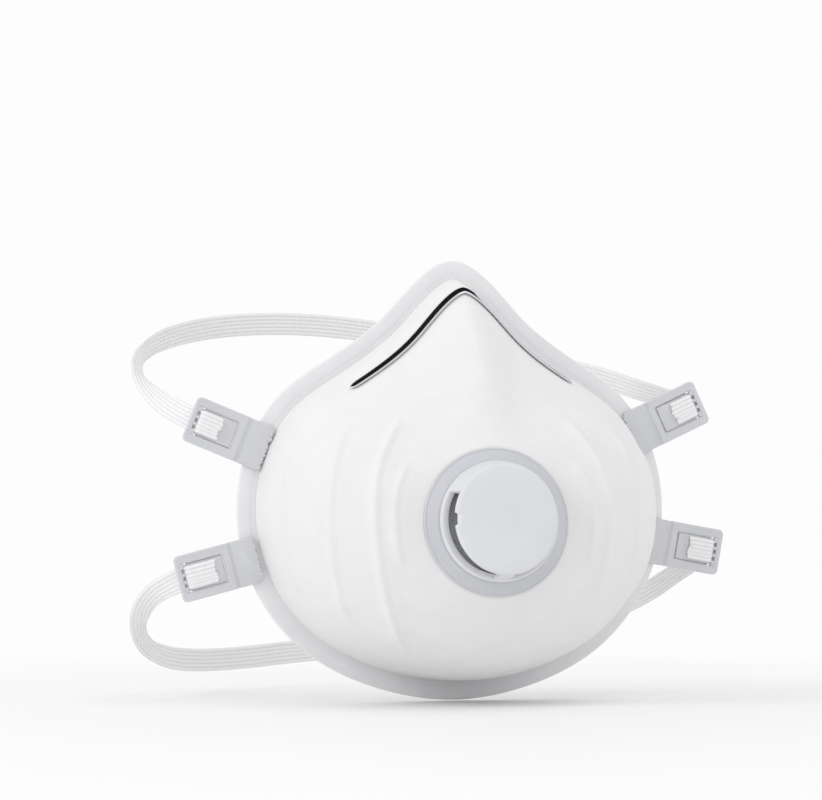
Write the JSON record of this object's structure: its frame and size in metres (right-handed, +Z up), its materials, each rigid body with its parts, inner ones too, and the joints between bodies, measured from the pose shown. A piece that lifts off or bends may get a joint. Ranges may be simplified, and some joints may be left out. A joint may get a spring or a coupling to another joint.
{
  "type": "dust mask",
  "caption": "Cup-shaped disposable dust mask: layered nonwoven cup, flat welded rim, nose clip, round exhalation valve, folding strap buckles and elastic head straps.",
  "frame": {"origin": "Middle of the bottom of the mask's box, measured without the free straps. x = 0 is the mask's plane of symmetry and z = 0 is the lowest point of the chin edge, on which the mask stands.", "axes": "+Z up to the nose, -Y forward to the exhalation valve, +Y back into the face opening, +X to the right of someone who looks at the front"},
  "size_m": [0.1743, 0.1487, 0.13],
  "materials": {
    "cover_nonwoven": "matte white moulded spunbond nonwoven with a fine embossed grain",
    "prefilter_felt": "soft white needled felt",
    "filter_web": "white meltblown web",
    "support_felt": "stiff white moulded felt",
    "liner_nonwoven": "smooth white nonwoven",
    "clip_aluminium": "bright rolled strip",
    "nose_foam": "soft open foam, off-white",
    "valve_plastic": "pale grey moulded polypropylene, satin",
    "buckle_plastic": "pale grey moulded polyethylene, satin",
    "membrane_silicone": "thin milky silicone",
    "strap_elastic": "white ribbed elastic"
  },
  "bodies": {
    "mask_body": {"outer_cover": "cover_nonwoven", "prefilter_felt": "prefilter_felt", "filter_web_1": "filter_web", "filter_web_2": "filter_web", "support_felt": "support_felt", "inner_liner": "liner_nonwoven", "rim_band": "cover_nonwoven", "nose_clip": "clip_aluminium", "nose_foam": "nose_foam", "valve_base": "valve_plastic", "membrane_pin": "valve_plastic", "valve_cover": "valve_plastic", "valve_retainer": "valve_plastic", "buckle_tab_upper_left": "buckle_plastic", "buckle_tab_upper_right": "buckle_plastic", "buckle_tab_lower_left": "buckle_plastic", "buckle_tab_lower_right": "buckle_plastic", "strap_upper": "strap_elastic", "strap_lower": "strap_elastic"},
    "buckle_upper_left": {"buckle_plate_upper_left": "buckle_plastic"},
    "flap_upper_left": {"buckle_flap_upper_left": "buckle_plastic", "strap_end_upper_left": "strap_elastic"},
    "buckle_upper_right": {"buckle_plate_upper_right": "buckle_plastic"},
    "flap_upper_right": {"buckle_flap_upper_right": "buckle_plastic", "strap_end_upper_right": "strap_elastic"},
    "buckle_lower_left": {"buckle_plate_lower_left": "buckle_plastic"},
    "flap_lower_left": {"buckle_flap_lower_left": "buckle_plastic", "strap_end_lower_left": "strap_elastic"},
    "buckle_lower_right": {"buckle_plate_lower_right": "buckle_plastic"},
    "flap_lower_right": {"buckle_flap_lower_right": "buckle_plastic", "strap_end_lower_right": "strap_elastic"},
    "membrane": {"valve_membrane": "membrane_silicone"}
  },
  "joints": [
    {"name": "fold_upper_left", "type": "hinge", "parent": "mask_body", "child": "buckle_upper_left", "pos_m": [-0.06327, 0.0269, 0.07644], "axis": [-0.3746, 0, -0.9272], "range_deg": [-30, 80], "deforming": ["strap_upper"]},
    {"name": "flap_lift_upper_left", "type": "hinge", "parent": "buckle_upper_left", "child": "flap_upper_left", "pos_m": [-0.07765, 0.0268, 0.08225], "axis": [-0.3746, 0, -0.9272], "range_deg": [0, 12], "stiffness_Nm_per_rad": 0.002, "deforming": ["strap_upper"]},
    {"name": "fold_upper_right", "type": "hinge", "parent": "mask_body", "child": "buckle_upper_right", "pos_m": [0.06154, 0.0269, 0.0815], "axis": [-0.4226, 0, 0.9063], "range_deg": [-30, 80], "deforming": ["strap_upper"]},
    {"name": "flap_lift_upper_right", "type": "hinge", "parent": "buckle_upper_right", "child": "flap_upper_right", "pos_m": [0.07559, 0.0268, 0.08805], "axis": [-0.4226, 0, 0.9063], "range_deg": [0, 12], "stiffness_Nm_per_rad": 0.002, "deforming": ["strap_upper"]},
    {"name": "fold_lower_left", "type": "hinge", "parent": "mask_body", "child": "buckle_lower_left", "pos_m": [-0.06596, 0.0269, 0.04018], "axis": [0.2504, 0, -0.9681], "range_deg": [-30, 80], "deforming": ["strap_lower"]},
    {"name": "flap_lift_lower_left", "type": "hinge", "parent": "buckle_lower_left", "child": "flap_lower_left", "pos_m": [-0.08096, 0.0268, 0.0363], "axis": [0.2504, 0, -0.9681], "range_deg": [0, 12], "stiffness_Nm_per_rad": 0.002, "deforming": ["strap_lower"]},
    {"name": "fold_lower_right", "type": "hinge", "parent": "mask_body", "child": "buckle_lower_right", "pos_m": [0.06617, 0.0269, 0.04604], "axis": [0.1736, 0, 0.9848], "range_deg": [-30, 80], "deforming": ["strap_lower"]},
    {"name": "flap_lift_lower_right", "type": "hinge", "parent": "buckle_lower_right", "child": "flap_lower_right", "pos_m": [0.08143, 0.0268, 0.04335], "axis": [0.1736, 0, 0.9848], "range_deg": [0, 12], "stiffness_Nm_per_rad": 0.002, "deforming": ["strap_lower"]},
    {"name": "membrane_lift", "type": "slide", "parent": "mask_body", "child": "membrane", "axis": [0, -0.9945, 0.1045], "range_m": [0, 0.0012], "stiffness_N_per_m": 8}
  ]
}
